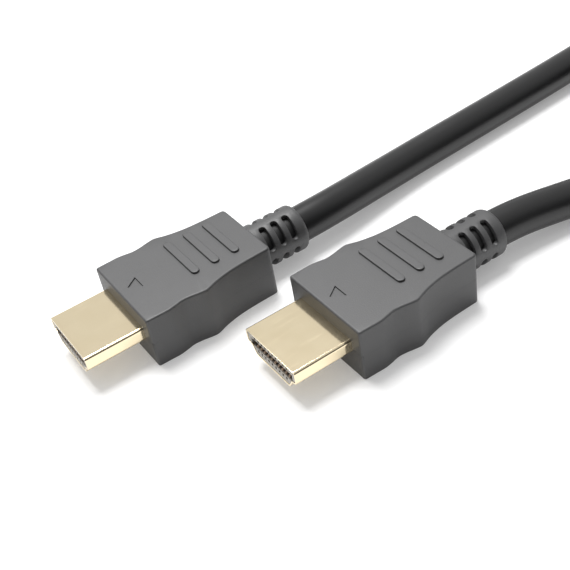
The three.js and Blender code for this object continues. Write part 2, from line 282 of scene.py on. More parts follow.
# %% A finish and its nodes
class Finish:
    """One material. Its nodes are made by one method, and its shader by another."""

    def __init__(self, name):
        self.material = bpy.data.materials.new(name)
        self.material.use_nodes = True
        self.tree = self.material.node_tree
        self.tree.nodes.clear()

    def join(self, socket, value):
        if isinstance(value, Signal):
            self.tree.links.new(value.socket, socket)
        else:
            socket.default_value = value

    def node(self, kind, settings=None, *values, **named):
        """A node with its settings, then its sockets in order or by name. Gives its first output."""
        made = self.tree.nodes.new(kind)
        for key, value in (settings or {}).items():
            setattr(made, key, value)
        sockets = [socket for socket in made.inputs if socket.enabled]
        for socket, value in zip(sockets, values):
            self.join(socket, value)
        for key, value in named.items():
            self.join(next(s for s in sockets if s.name == key.replace("_", " ")), value)
        return Signal(self, next(socket for socket in made.outputs if socket.enabled))

    def place(self, scale=(1, 1, 1)):
        """Object coordinates, stretched along each axis."""
        spot = self.node("ShaderNodeTexCoord").of("Object")
        return self.node("ShaderNodeMapping", None, Vector=spot, Scale=scale)

    def past(self, planes):
        """How far along X a place lies past its own plug's plane. The right plug is at y < 0."""
        x = self.node("ShaderNodeSeparateXYZ", None, self.place())
        on_right = x.maths("LESS_THAN", x.of("Y"), 0.0)
        return x - planes["left"] - on_right * (planes["right"] - planes["left"])

    def noise(self, place, scale, detail=2.0):
        return self.node("ShaderNodeTexNoise", None, Vector=place, Scale=scale, Detail=detail)

    def mix(self, factor, a, b):
        """From colour a to colour b."""
        return self.node("ShaderNodeMix", {"data_type": "RGBA"}, Factor=factor, A=(*a, 1), B=(*b, 1))

    def bump(self, height, strength, depth):
        return self.node("ShaderNodeBump", None, Strength=strength, Distance=depth, Height=height)

    def shader(self, **sockets):
        """The surface itself. Gives the material."""
        surface = self.node("ShaderNodeBsdfPrincipled", None, **sockets)
        out = self.tree.nodes.new("ShaderNodeOutputMaterial")
        self.tree.links.new(surface.socket, out.inputs["Surface"])
        return self.material


# %% [markdown]
# The overmoulds are soft black plastic, shot into a spark-eroded mould. That leaves a fine even
# grain which scatters the light, so the flat top looks mid grey under the lamp. A slow cloud of
# roughness stands for handling. The floors of the strain relief's slots lie at the jacket's radius,
# and the finish paints them near black, near the cable's axis behind the rear of the body. That
# stands for the black jacket showing there and for painted shade down in the deep slots.

# %% Moulded plastic
BODY_REAR_X = {"left": 0.00135, "right": 0.02455}
AXIS_Y, AXIS_Z = 0.0128, 0.005
SLOT_FLOOR_R, SLOT_WALL_R = 0.00345, 0.0038
SHADE_FROM, SHADE_FULL = 0.0001, 0.0003


def painted_slot_shade(finish):
    """Painted shade: 1 on the floors of the strain relief's slots, and 0 on all other plastic."""
    x = finish.node("ShaderNodeSeparateXYZ", None, finish.place())
    aside, above = x.maths("ABSOLUTE", x.of("Y")) - AXIS_Y, x.of("Z") - AXIS_Z
    radius = (aside * aside + above * above) ** 0.5
    behind = finish.past(BODY_REAR_X).between(SHADE_FROM, SHADE_FULL)
    return behind * (1.0 - radius.between(SLOT_FLOOR_R, SLOT_WALL_R))


def moulded_finish():
    finish = Finish("moulded_grain")
    place = finish.place()
    grain = finish.noise(place, 5200.0, 3.0)
    cloud = finish.noise(place, 190.0, 2.0)
    # Painted shade: the slot floors are painted near black, darker than the rest of the plastic.
    lightness = (0.8 + cloud * 0.2) * (1.0 - painted_slot_shade(finish))
    return finish.shader(
        Base_Color=finish.mix(lightness, (0.003, 0.003, 0.003), (0.054, 0.054, 0.0552)),
        Roughness=0.4 + cloud * 0.08 + grain * 0.08,
        Specular_IOR_Level=0.72,
        Normal=finish.bump(grain + cloud * 0.3, 0.5, 0.00006),
    )


moulded = moulded_finish()
print("finish:", moulded.name)

# %% [markdown]
# The shells are drawn sheet with a thin pale gold plating. Drawing and polishing leave faint
# lines along the plug, and each insertion adds short rubs in the same direction, so both noises
# are drawn out along X.

# %% Pale gold plating
def plated_finish():
    finish = Finish("pale_gold_plating")
    lines = finish.noise(finish.place((0.04, 1, 1)), 5200.0, 3.0)
    rubs = finish.noise(finish.place((0.12, 1, 1)), 1500.0, 4.0).between(0.58, 0.72)
    cloud = finish.noise(finish.place(), 240.0, 2.0)
    return finish.shader(
        Base_Color=finish.mix(cloud, (0.86, 0.73, 0.495), (0.9, 0.78, 0.555)),
        Metallic=1.0,
        Roughness=0.1 + lines * 0.04 + rubs * 0.04 + cloud * 0.03,
        Normal=finish.bump(lines + rubs * 0.3, 0.05, 0.00001),
    )


plated = plated_finish()
print("finish:", plated.name)

# %% [markdown]
# Inside the mouth, a matt glass-filled plastic carries the contacts. Little light reaches the
# ends of its slot and windows, and shade alone leaves them too light at this size, so its colour
# also fades with depth. The contacts are hard gold on a stamped strip.

# %% Carrier plastic, comb plastic and contact gold
MOUTH_X = {"left": -0.03455, "right": -0.01135}
LIT_DEPTH, DARK_DEPTH = 0.0001, 0.0006


def carrier_finish():
    """Slightly mottled plastic, which fades to near black behind the face."""
    finish = Finish("carrier_plastic")
    grain = finish.noise(finish.place(), 4200.0, 3.0)
    lit = 1.0 - finish.past(MOUTH_X).between(LIT_DEPTH, DARK_DEPTH)
    return finish.shader(
        Base_Color=finish.mix(lit * (0.82 + grain * 0.18), (0.012, 0.01, 0.009), (0.5, 0.468, 0.415)),
        Roughness=0.5 + grain * 0.15,
        Normal=finish.bump(grain, 0.2, 0.00002),
    )


def comb_finish():
    """The same plastic where it parts the contacts, painted browner: painted light reflected from the gold
    beside it.
    """
    finish = Finish("comb_plastic")
    grain = finish.noise(finish.place(), 5000.0, 2.0)
    return finish.shader(
        Base_Color=finish.mix(grain, (0.36, 0.25, 0.17), (0.46, 0.34, 0.24)),
        Roughness=0.45 + grain * 0.15,
    )


def contact_finish():
    """Gold, with rolling lines along the strip."""
    finish = Finish("contact_gold")
    lines = finish.noise(finish.place((0.05, 1, 1)), 9000.0, 2.0)
    return finish.shader(
        Base_Color=finish.mix(lines, (0.78, 0.55, 0.22), (0.88, 0.66, 0.3)),
        Metallic=1.0,
        Roughness=0.22 + lines * 0.15,
        Normal=finish.bump(lines, 0.1, 0.00001),
    )


carrier, comb_plastic, contact_gold = carrier_finish(), comb_finish(), contact_finish()
print("finishes:", carrier.name, comb_plastic.name, contact_gold.name)

# %% [markdown]
# The jacket is soft black plastic, drawn over the wires as the cable is made. It has a satin
# gloss, a very fine grain, and slow ripples that follow each other along the cable. The ripples
# need to know how far along the cable a point is, which the jacket's mesh carries as `along`.

# %% Satin jacket
def jacket_finish_made():
    finish = Finish("satin_jacket")
    along = finish.node("ShaderNodeAttribute", {"attribute_name": "along"}).of("Fac")
    grain = finish.noise(finish.place(), 3600.0, 3.0)
    cloud = finish.noise(finish.place(), 150.0, 2.0)
    ripple = (along * 900.0 + cloud * 9.0).sine() * 0.5 + 0.5
    return finish.shader(
        Base_Color=finish.mix(cloud, (0.0045, 0.0045, 0.0048), (0.007, 0.007, 0.0074)),
        Roughness=0.27 + cloud * 0.06 + grain * 0.05 + ripple * 0.015,
        Normal=finish.bump(grain * 0.5 + ripple * 0.5, 0.16, 0.00003),
    )


jacket_finish = jacket_finish_made()
print("finish:", jacket_finish.name)

# %% [markdown]
# A hook and loop tie is a woven ribbon. Its loops stand in rows across and along the strap, so
# the pattern reads two numbers that the strap's mesh carries: how far along and how far across.

# %% Woven strap
def strap_finish():
    finish = Finish("woven_strap")
    along = finish.node("ShaderNodeAttribute", {"attribute_name": "along"}).of("Fac")
    across = finish.node("ShaderNodeAttribute", {"attribute_name": "across"}).of("Fac")
    fuzz = finish.noise(finish.place(), 2600.0, 4.0)
    warp = (across * 9000.0 + fuzz * 1.5).sine() * 0.5 + 0.5
    weft = (along * 7000.0 + fuzz * 1.5).sine() * 0.5 + 0.5
    weave = warp * weft
    return finish.shader(
        Base_Color=finish.mix(weave + fuzz * 0.3, (0.008, 0.008, 0.009), (0.03, 0.03, 0.031)),
        Roughness=0.75 + fuzz * 0.2,
        Normal=finish.bump(weave + fuzz * 0.6, 0.7, 0.00015),
    )


woven = strap_finish()
print("finish:", woven.name)

# %% [markdown]
# ## The jacket
# A jacket is a round section carried along a line, which is what Geometry Nodes do with one
# Curve to Mesh node. The tree also writes how far along the cable each point is, so that the
# finish can follow it.

# %% Geometry Nodes for the jacket
JACKET_SIDES = 28


def new_tree(name, inputs):
    """An empty Geometry Nodes tree with a geometry in and out and the named inputs."""
    tree = bpy.data.node_groups.new(name, "GeometryNodeTree")
    tree.interface.new_socket("Geometry", in_out="INPUT", socket_type="NodeSocketGeometry")
    tree.interface.new_socket("Geometry", in_out="OUTPUT", socket_type="NodeSocketGeometry")
    for label, kind in inputs.items():
        tree.interface.new_socket(label, in_out="INPUT", socket_type=kind)
    return tree


def tree_node(tree, kind, settings=None, **links):
    """A node with its settings and inputs, given by name with underscores for spaces."""
    node = tree.nodes.new(kind)
    for key, value in (settings or {}).items():
        setattr(node, key, value)
    for key, value in links.items():
        socket = node.inputs[key.replace("_", " ")]
        if isinstance(value, bpy.types.NodeSocket):
            tree.links.new(value, socket)
        else:
            socket.default_value = value
    return node


def end_tree(tree, geometry, finish):
    """Makes what a tree repeats real, sets its finish and hands it out."""
    real = tree_node(tree, "GeometryNodeRealizeInstances", None, Geometry=geometry)
    dressed = tree_node(
        tree, "GeometryNodeSetMaterial", None, Geometry=real.outputs["Geometry"], Material=finish,
    )
    out = tree.nodes.new("NodeGroupOutput")
    tree.links.new(dressed.outputs["Geometry"], out.inputs["Geometry"])


def jacket_tree():
    tree = new_tree("jacket", {
        "Radius": "NodeSocketFloat", "Sides": "NodeSocketInt", "Finish": "NodeSocketMaterial",
    })
    given = tree.nodes.new("NodeGroupInput")
    along = tree_node(tree, "GeometryNodeSplineParameter")
    marked = tree_node(
        tree, "GeometryNodeStoreNamedAttribute", {"data_type": "FLOAT", "domain": "POINT"},
        Geometry=given.outputs["Geometry"], Name="along", Value=along.outputs["Length"],
    )
    ring = tree_node(
        tree, "GeometryNodeCurvePrimitiveCircle", {"mode": "RADIUS"},
        Resolution=given.outputs["Sides"], Radius=given.outputs["Radius"],
    )
    swept = tree_node(
        tree, "GeometryNodeCurveToMesh", None, Curve=marked.outputs["Geometry"],
        Profile_Curve=ring.outputs["Curve"], Fill_Caps=True,
    )
    smooth = tree_node(tree, "GeometryNodeSetShadeSmooth", None, Geometry=swept.outputs["Mesh"])
    end_tree(tree, smooth.outputs["Geometry"], given.outputs["Finish"])
    return tree


def set_inputs(modifier, tree, **values):
    """Gives a modifier its tree, and sets the inputs by each socket's identifier."""
    modifier.node_group = tree
    for item in tree.interface.items_tree:
        if item.in_out == "INPUT" and item.name.replace(" ", "_") in values:
            modifier[item.identifier] = values[item.name.replace(" ", "_")]


def baked(obj, name):
    """A plain mesh object of obj with its modifiers applied. obj is removed."""
    bpy.context.view_layer.update()
    evaluated = obj.evaluated_get(bpy.context.evaluated_depsgraph_get())
    mesh = bpy.data.meshes.new_from_object(evaluated)
    bpy.data.objects.remove(obj, do_unlink=True)
    made = bpy.data.objects.new(name, mesh)
    bpy.context.scene.collection.objects.link(made)
    return made


def line_object(name, points):
    """A curve object with one open line through the points."""
    data = bpy.data.curves.new(name, "CURVE")
    data.dimensions = "3D"
    data.twist_mode = "MINIMUM"
    spline = data.splines.new("POLY")
    spline.points.add(len(points) - 1)
    spline.points.foreach_set("co", np.column_stack([points, np.ones(len(points))]).ravel())
    obj = bpy.data.objects.new(name, data)
    bpy.context.scene.collection.objects.link(obj)
    return obj


tree = jacket_tree()
line = line_object("jacket_line", route)
modifier = line.modifiers.new("jacket", "NODES")
set_inputs(modifier, tree, Radius=CABLE_R, Sides=JACKET_SIDES, Finish=jacket_finish)
jacket = baked(line, "cable_jacket")
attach(jacket, "root")
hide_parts("left_cable_run", "right_cable_run", "cable_coil")
print("jacket:", len(jacket.data.polygons), "faces")

# %% [markdown]
# ## Meshes from rings and flat fills
# A moulded plug is easiest to build the way its drawing shows it: a plan outline, a side profile
# with rounded edges, and raised or sunken shapes on flat faces. Rings of corners joined by quads
# give the rounded walls. The flat faces between them are filled by a Delaunay triangulation,
# which goes round any shape that stands on the face.

# %% Filling a flat outline
MERGE = 1e-4


def inside(points, loop):
    """Which flat points lie inside a closed loop: a ray from each crosses it an odd number of times."""
    x, y = points[:, 0], points[:, 1]
    within = np.zeros(len(points), bool)
    for (x0, y0), (x1, y1) in zip(loop, np.roll(loop, -1, axis=0)):
        if y0 != y1:
            within ^= ((y0 > y) != (y1 > y)) & (x < (x1 - x0) * (y - y0) / (y1 - y0) + x0)
    return within


def flat_fill(outer, holes=(), extra=()):
    """Corners and triangles inside an outline, around its holes and through the extra points."""
    loops = [np.asarray(outer), *[np.asarray(hole) for hole in holes]]
    edges, start = [], 0
    for loop in loops:
        edges += [(start + i, start + (i + 1) % len(loop)) for i in range(len(loop))]
        start += len(loop)
    points = np.concatenate([*loops, np.asarray(extra)]) if len(extra) else np.concatenate(loops)
    made = delaunay_2d_cdt([Vector(point) for point in points.tolist()], edges, [], 0, 1e-7)
    corners = np.array([tuple(corner) for corner in made[0]])
    centres = np.array([corners[list(face)].mean(axis=0) for face in made[2]])
    keep = inside(centres, loops[0])
    for hole in loops[1:]:
        keep &= ~inside(centres, hole)
    return corners, [face for face, kept in zip(made[2], keep) if kept]


# %% Gathering a closed surface
class Surface:
    """Corners and faces in millimetres for one closed skin."""

    def __init__(self):
        self.corners, self.faces = [], []

    def add(self, corners, faces):
        start = len(self.corners)
        self.corners += [tuple(corner) for corner in corners]
        self.faces += [tuple(start + i for i in face) for face in faces]

    def rings(self, rings):
        """Quads between closed rings that have equally many corners."""
        count = len(rings[0])
        self.add(
            [corner for ring in rings for corner in ring],
            [
                (row * count + i, row * count + (i + 1) % count,
                 (row + 1) * count + (i + 1) % count, (row + 1) * count + i)
                for row in range(len(rings) - 1) for i in range(count)
            ],
        )

    def cap(self, ring):
        self.add(ring, [range(len(ring))])

    def flat(self, outer, holes, lift, extra=()):
        """A flat fill, with lift turning its two numbers into a place."""
        corners, faces = flat_fill(outer, holes, extra)
        self.add([lift(a, b) for a, b in corners], faces)

    def mesh(self, name):
        """The mesh in metres, with its doubles merged and its faces outwards."""
        made = bmesh.new()
        corners = [made.verts.new(corner) for corner in self.corners]
        for face in self.faces:
            made.faces.new([corners[i] for i in face])
        bmesh.ops.remove_doubles(made, verts=made.verts, dist=MERGE)
        bmesh.ops.dissolve_degenerate(made, edges=made.edges, dist=MERGE)
        bmesh.ops.recalc_face_normals(made, faces=made.faces)
        open_edges = sum(not edge.is_manifold for edge in made.edges)
        bmesh.ops.scale(made, vec=(MM, MM, MM), verts=made.verts)
        mesh = bpy.data.meshes.new(name)
        made.to_mesh(mesh)
        made.free()
        print(name, len(mesh.polygons), "faces,", open_edges, "open edges")
        return mesh


# %% Rounded edges and finished normals
SHARP_ANGLE = math.radians(38)
EVEN_WEIGHT = 90


def quarter_round(radius, steps):
    """Pairs of inset and height for an edge that rounds over, from the wall to the flat."""
    angles = [math.pi / 2 * i / steps for i in range(steps + 1)]
    return [(radius * (1 - math.cos(a)), radius * (math.sin(a) - 1)) for a in angles]


def stadium(centre, reach, radius, steps=8, straight=1):
    """A slot's outline, long in its second number: two half circles and two straight sides."""
    points = []
    for turn_from, end in ((0.0, 1), (math.pi, -1)):
        for i in range(steps + 1):
            a = turn_from + math.pi * i / steps
            points.append((centre[0] + radius * math.cos(a), centre[1] + end * reach + radius * math.sin(a)))
        for i in range(1, straight):
            x = centre[0] - end * radius
            points.append((x, centre[1] + end * reach * (1 - 2 * i / straight)))
    return np.array(points)


def scene_object(name, mesh):
    obj = bpy.data.objects.new(name, mesh)
    bpy.context.scene.collection.objects.link(obj)
    return obj


def smoothed(obj, name):
    """A plain mesh object with smooth shading that stays crisp at real edges."""
    obj.data.shade_smooth()
    obj.data.set_sharp_from_angle(angle=SHARP_ANGLE)
    weighted = obj.modifiers.new("even", "WEIGHTED_NORMAL")
    weighted.keep_sharp = True
    weighted.weight = EVEN_WEIGHT
    return baked(obj, name)


def place_copies(model, piece, material, replaced):
    """A copy of a plug's piece at each plug, in the place of that plug's solids."""
    for side, corner in PLUG_PLACES.items():
        mesh = model.data.copy()
        mesh.transform(Matrix.Translation(Vector(corner)))
        mesh.materials.clear()
        mesh.materials.append(material)
        copy = scene_object(f"{side}_{piece}", mesh)
        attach(copy, "root")
        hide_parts(*[f"{side}_{node}" for node in replaced])
    print(piece, "at", ", ".join(PLUG_PLACES), "-", len(model.data.polygons), "faces each")
    bpy.data.objects.remove(model, do_unlink=True)


PLUG_PLACES = {"left": (-0.02385, 0.0128, 0.0), "right": (-0.00065, -0.0128, 0.0)}

# %% [markdown]
# ## The overmould
# Seen from above, the overmould has a square front, a hollow for finger and thumb, a shoulder
# behind it and a narrower rear. Those few half widths make one smooth outline. Its wall is swept
# up from the floor, with both edges rounded, and with the fine line at half height where the two
# halves of the mould met. Its length, edges and corners were set against the photograph once
# more, so they differ a little from the solid's.

# %% Plan outline
BODY_LENGTH, BODY_HEIGHT, BODY_EDGE_R, BODY_FOOT_R = 25.2, 10.0, 0.38, 0.2
FRONT_HALF, FRONT_CORNER_R = 9.42, 0.5
REAR_HALF, REAR_CORNER_R = 7.72, 0.9
SIDE_POINTS = [
    (FRONT_CORNER_R, FRONT_HALF), (2.4, 9.46), (4.2, 9.49), (5.6, 9.27), (7.1, 8.98), (8.6, 9.1),
    (9.9, 9.36), (10.9, 9.53), (11.6, 9.54), (12.4, 9.3), (13.5, 8.88), (14.9, 8.5), (16.6, 8.16),
    (18.4, 7.95), (21.0, 7.8), (BODY_LENGTH - REAR_CORNER_R, REAR_HALF),
]


def through(points, steps):
    """A smooth line through a few points. Each point's neighbours give its slope."""
    points = np.array(points)
    padded = np.concatenate([points[:1], points, points[-1:]])
    line = []
    for a, b, c, d in zip(padded, padded[1:], padded[2:], padded[3:]):
        square, cube = a - 2.5 * b + 2 * c - d / 2, (-a + 3 * b - 3 * c + d) / 2
        for t in np.arange(steps) / steps:
            line.append(b + (c - a) / 2 * t + square * t ** 2 + cube * t ** 3)
    return [*line, points[-1]]


def corner_curve(start, corner, end, steps):
    start, corner, end = (np.array(point) for point in (start, corner, end))
    return [
        (1 - t) ** 2 * start + 2 * t * (1 - t) * corner + t * t * end for t in np.arange(1, steps) / steps
    ]


def plan_outline():
    """Half the outline, and its mirror image, round to a closed loop."""
    half = [(0.0, y) for y in np.linspace(0.0, FRONT_HALF - FRONT_CORNER_R, 8)]
    half += corner_curve(half[-1], (0.0, FRONT_HALF), SIDE_POINTS[0], 8)
    half += through(SIDE_POINTS, 5)
    rear = (BODY_LENGTH, REAR_HALF - REAR_CORNER_R)
    half += corner_curve(SIDE_POINTS[-1], (BODY_LENGTH, REAR_HALF), rear, 12)
    half += [(BODY_LENGTH, y) for y in np.linspace(rear[1], 0.0, 6)]
    half = np.array([tuple(point) for point in half])
    return np.concatenate([half, (half * (1, -1))[-2:0:-1]])[::-1]


def inset_loop(loop, amount):
    """A loop moved inwards, square to itself. The loop runs anticlockwise."""
    along = np.roll(loop, -1, axis=0) - np.roll(loop, 1, axis=0)
    along /= np.linalg.norm(along, axis=1)[:, None]
    return loop + np.column_stack([-along[:, 1], along[:, 0]]) * amount


body_outline = plan_outline()
print("outline:", len(body_outline), "points")

# %% Wall, ridges and arrow
PARTING_Z, PARTING_HALF, PARTING_DEPTH = 5.0, 0.06, 0.03
RIDGE_FIRST, RIDGE_PITCH = 12.45, 3.96
RIDGE_XS = [RIDGE_FIRST + RIDGE_PITCH * i for i in range(3)]
RIDGE_Y, RIDGE_LENGTH, RIDGE_WIDTH, RIDGE_RISE = 0.9, 11.2, 1.5, 0.38
RIDGE_EDGE_R = 0.14
ARROW = np.array([(1.8, 0.55), (4.0, -1.0), (4.0, 2.1)])
ARROW_DEPTH = 0.25


def level(z):
    return lambda x, y: (x, y, z)


def body_surface():
    body = Surface()
    edge = quarter_round(BODY_EDGE_R, 6)
    profile = [(inset, -height) for inset, height in reversed(quarter_round(BODY_FOOT_R, 3))]
    profile += [
        (0.0, PARTING_Z - PARTING_HALF), (PARTING_DEPTH, PARTING_Z - PARTING_HALF / 3),
        (PARTING_DEPTH, PARTING_Z + PARTING_HALF / 3), (0.0, PARTING_Z + PARTING_HALF),
    ]
    profile += [(inset, BODY_HEIGHT + height) for inset, height in edge]
    loops = [inset_loop(body_outline, inset) for inset, _ in profile]
    body.rings([[(x, y, z) for x, y in loop] for loop, (_, z) in zip(loops, profile)])
    body.flat(loops[0], [], level(profile[0][1]))
    holes = [add_ridge(body, x) for x in RIDGE_XS] + [add_arrow(body)]
    body.flat(loops[-1], holes, level(BODY_HEIGHT))
    return body


def stepped(body, loops, heights):
    """Walls through the loops at their heights, and the last loop filled."""
    body.rings([[(x, y, z) for x, y in loop] for loop, z in zip(loops, heights)])
    body.flat(loops[-1], [], level(heights[-1]))
    return loops[0]


def add_ridge(body, x):
    """A raised bar with round ends. Gives the hole it needs in the top."""
    steps = [(0.03, 0.0), (0.005, 0.02), (0.0, 0.06)]
    steps += [(-inset, RIDGE_RISE + height) for inset, height in quarter_round(RIDGE_EDGE_R, 4)]
    reach = (RIDGE_LENGTH - RIDGE_WIDTH) / 2
    loops = [stadium((x, RIDGE_Y), reach, RIDGE_WIDTH / 2 + grown, 12) for grown, _ in steps]
    return stepped(body, loops, [BODY_HEIGHT + rise for _, rise in steps])


def add_arrow(body):
    """The sunk arrow. Its middle stays where it is as each step shrinks towards the floor."""
    middle = ARROW.mean(axis=0)
    steps = [(1.05, 0.0), (1.01, -0.03), (1.0, -0.07), (0.98, -ARROW_DEPTH)]
    loops = [middle + (ARROW - middle) * size for size, _ in steps]
    return stepped(body, loops, [BODY_HEIGHT + drop for _, drop in steps])


body_mesh = body_surface().mesh("overmould_body")

# %% [markdown]
# ## The strain relief
# Behind the body a sleeve of the same plastic grips the cable. Three rows of slots let it bend.
# It is drawn flat, as if unrolled, because slots with round ends are simple on a flat sheet.
# Each point is then wrapped round the cable, and the slots get walls and a floor.

# %% Sleeve and slots
RELIEF_R, RELIEF_END_R, RELIEF_WALL = 4.35, 0.9, 0.95
RELIEF_START, RELIEF_END = 23.0, 35.2
SLOT_FIRST, SLOT_PITCH = 2.25, 2.4
SLOT_XS = [BODY_LENGTH + SLOT_FIRST + SLOT_PITCH * i for i in range(3)]
SLOT_WIDTH_X, SLOT_ARC = 1.3, math.radians(67)
FLOOR_STEP, FLOOR_MARGIN, SHEET_MARGIN = 0.3, 0.12, 0.22
SLOT_MIDDLES = [math.radians(45 + 90 * i) for i in range(4)]
ROUND_STEPS = 72
SHEET_WIDTH = 2 * math.pi * RELIEF_R


def wrapped(radius):
    """Turns a place on the flat sheet into one on the sleeve. The sheet's edge is on top."""
    def place(x, across):
        a = across / RELIEF_R
        return x, -radius * math.sin(a), BODY_HEIGHT / 2 + radius * math.cos(a)
    return place


def sheet_points(xs, first, last, clear_of=()):
    """A grid of points on the sheet, without those that crowd a slot."""
    columns = [SHEET_WIDTH * i / ROUND_STEPS for i in range(ROUND_STEPS + 1)]
    points = np.array([(x, s) for x in xs for s in columns if first < s < last])
    for loop in clear_of:
        points = points[~inside(points, loop)]
    return points


def add_slot(relief, x, middle):
    """Walls and floor of one slot. Gives its outline in the sheet, and a wider one to keep clear."""
    reach = (SLOT_ARC * RELIEF_R - SLOT_WIDTH_X) / 2
    steps = [(0.10, 0.0), (0.03, 0.03), (0.0, 0.10), (0.0, RELIEF_WALL)]
    loops = [
        stadium((x, middle * RELIEF_R), reach, SLOT_WIDTH_X / 2 + grown, 8, 12) for grown, _ in steps
    ]
    relief.rings([
        [wrapped(RELIEF_R - depth)(a, b) for a, b in loop] for loop, (_, depth) in zip(loops, steps)
    ])
    kept_in = stadium((x, middle * RELIEF_R), reach, SLOT_WIDTH_X / 2 - FLOOR_MARGIN, 8, 12)
    floor_points = sheet_points([x - FLOOR_STEP, x, x + FLOOR_STEP], 0, SHEET_WIDTH)
    floor_points = floor_points[inside(floor_points, kept_in)]
    relief.flat(loops[-1], [], wrapped(RELIEF_R - RELIEF_WALL), floor_points)
    return loops[0], stadium((x, middle * RELIEF_R), reach, SLOT_WIDTH_X / 2 + SHEET_MARGIN, 8, 12)


def relief_surface():
    relief = Surface()
    made = [add_slot(relief, x, middle) for x in SLOT_XS for middle in SLOT_MIDDLES]
    holes, keep_clear = [hole for hole, _ in made], [clear for _, clear in made]
    straight_end = RELIEF_END - RELIEF_END_R
    xs = np.linspace(RELIEF_START, straight_end, 15)
    columns = [SHEET_WIDTH * i / ROUND_STEPS for i in range(ROUND_STEPS + 1)]
    frame_loop = [(RELIEF_START, s) for s in columns[::-1]] + [(x, 0.0) for x in xs[1:-1]]
    frame_loop += [(straight_end, s) for s in columns] + [(x, SHEET_WIDTH) for x in xs[-2:0:-1]]
    points = sheet_points(xs[1:-1], 1e-6, SHEET_WIDTH - 1e-6, keep_clear)
    relief.flat(frame_loop, holes, wrapped(RELIEF_R), points)
    ends = [
        (RELIEF_R - inset, straight_end + RELIEF_END_R + height)
        for inset, height in quarter_round(RELIEF_END_R, 6)
    ]
    rings = [[wrapped(radius)(x, s) for s in columns[:-1]] for radius, x in ends]
    relief.rings(rings)
    relief.cap(rings[-1])
    relief.cap([wrapped(RELIEF_R)(RELIEF_START, s) for s in columns[:-1]])
    return relief


relief_mesh = relief_surface().mesh("overmould_relief")

# %% One moulding
body = scene_object("body_form", body_mesh)
relief = scene_object("relief_form", relief_mesh)
joined = body.modifiers.new("join", "BOOLEAN")
joined.operation = "UNION"
joined.solver = "EXACT"
joined.object = relief
body = baked(body, "body_joined")
bpy.data.objects.remove(relief, do_unlink=True)
overmould = smoothed(body, "overmould_model")
place_copies(overmould, "moulded_grip", moulded, ["overmould"])

# %% [markdown]
# ## The metal shell
# The shell is a thin sheet bent round the contacts: wide above, and stepped in below so that it
# only goes in one way up. It is one outline, carried back along the plug as an outer and an
# inner wall. The rim that catches the light joins the two walls and is rounded on both sides.

# %% Shell
SHELL_LENGTH, SHELL_WALL, SHELL_TOP, SHELL_CORNER_R = 10.7, 0.3, 7.0, 0.5
SMALLEST_CORNER_R, CORNER_STEPS = 0.2, 6
RIM_R, RIM_CUT = 0.06, 0.015
SHELL_HALF = [(4.7, 2.55), (5.75, 4.15), (6.95, 4.55), (6.95, SHELL_TOP)]
SHELL_CORNERS = np.array(SHELL_HALF + [(-y, z) for y, z in reversed(SHELL_HALF)])


def inset_corners(corners, amount):
    """The corners of an outline whose straight sides all move inwards."""
    along = np.roll(corners, -1, axis=0) - corners
    along /= np.linalg.norm(along, axis=1)[:, None]
    starts = corners + np.column_stack([-along[:, 1], along[:, 0]]) * amount
    moved = []
    for i in range(len(corners)):
        last, this = along[i - 1], along[i]
        offset = starts[i] - starts[i - 1]
        reach = (offset[0] * this[1] - offset[1] * this[0]) / (last[0] * this[1] - last[1] * this[0])
        moved.append(starts[i - 1] + last * reach)
    return np.array(moved)


def round_corners(corners, radius, steps):
    """An outline with a true arc in each corner."""
    loop = []
    for i, corner in enumerate(corners):
        to_last = corners[i - 1] - corner
        to_next = corners[(i + 1) % len(corners)] - corner
        to_last, to_next = to_last / np.linalg.norm(to_last), to_next / np.linalg.norm(to_next)
        half = math.acos(float(np.clip(to_last @ to_next, -1, 1))) / 2
        middle = (to_last + to_next) / np.linalg.norm(to_last + to_next)
        centre = corner + middle * radius / math.sin(half)
        first = corner + to_last * radius / math.tan(half) - centre
        last = corner + to_next * radius / math.tan(half) - centre
        a0, a1 = math.atan2(first[1], first[0]), math.atan2(last[1], last[0])
        swing = (a1 - a0 + math.pi) % (2 * math.pi) - math.pi
        for k in range(steps + 1):
            a = a0 + swing * k / steps
            loop.append(centre + radius * np.array([math.cos(a), math.sin(a)]))
    return np.array(loop)


def shell_loop(inset):
    radius = max(SHELL_CORNER_R - inset, SMALLEST_CORNER_R)
    return round_corners(inset_corners(SHELL_CORNERS, inset), radius, CORNER_STEPS)


def shell_surface():
    shell = Surface()
    front = -SHELL_LENGTH
    profile = [
        (0.0, 0.0), (0.0, front + RIM_R), (RIM_CUT, front + RIM_CUT), (RIM_R, front),
        (SHELL_WALL - RIM_R, front), (SHELL_WALL - RIM_CUT, front + RIM_CUT),
        (SHELL_WALL, front + RIM_R), (SHELL_WALL, 0.0),
    ]
    rings = [[(x, y, z) for y, z in shell_loop(inset)] for inset, x in profile]
    shell.rings([*rings, rings[0]])
    return shell


shell = smoothed(scene_object("shell_form", shell_surface().mesh("shell_form")), "shell_model")
place_copies(shell, "plated_shell", plated, ["shell"])

# %% [markdown]
# ## The contact carrier
# Inside the shell a moulded carrier holds nineteen contacts. Its face has a wide slot for the
# socket's tongue, and a small square window over each contact's tip. The face is one flat fill
# with a hole for the slot and each window, and every hole gets a chamfer, walls and an end.

# %% Carrier
FACE_SETBACK = 0.07
CARRIER_FRONT = -SHELL_LENGTH + FACE_SETBACK
TONGUE_HALF, TONGUE_FLOOR, TONGUE_ROOF, TONGUE_DEPTH = 5.8, 4.28, 5.78, 8.6
PITCH, WINDOW, WINDOW_WALL, WINDOW_DEPTH = 1.0, 0.52, 0.2, 1.2
TONGUE_CHAMFER, WINDOW_CHAMFER, POCKET_CORNER_R = 0.1, 0.04, 0.05
UPPER_YS = [(i - 4.5) * PITCH for i in range(10)]
LOWER_YS = [(i - 4.0) * PITCH for i in range(9)]


def upright_box(y0, y1, z0, z1):
    return round_corners(np.array([(y0, z0), (y1, z0), (y1, z1), (y0, z1)]), POCKET_CORNER_R, 2)


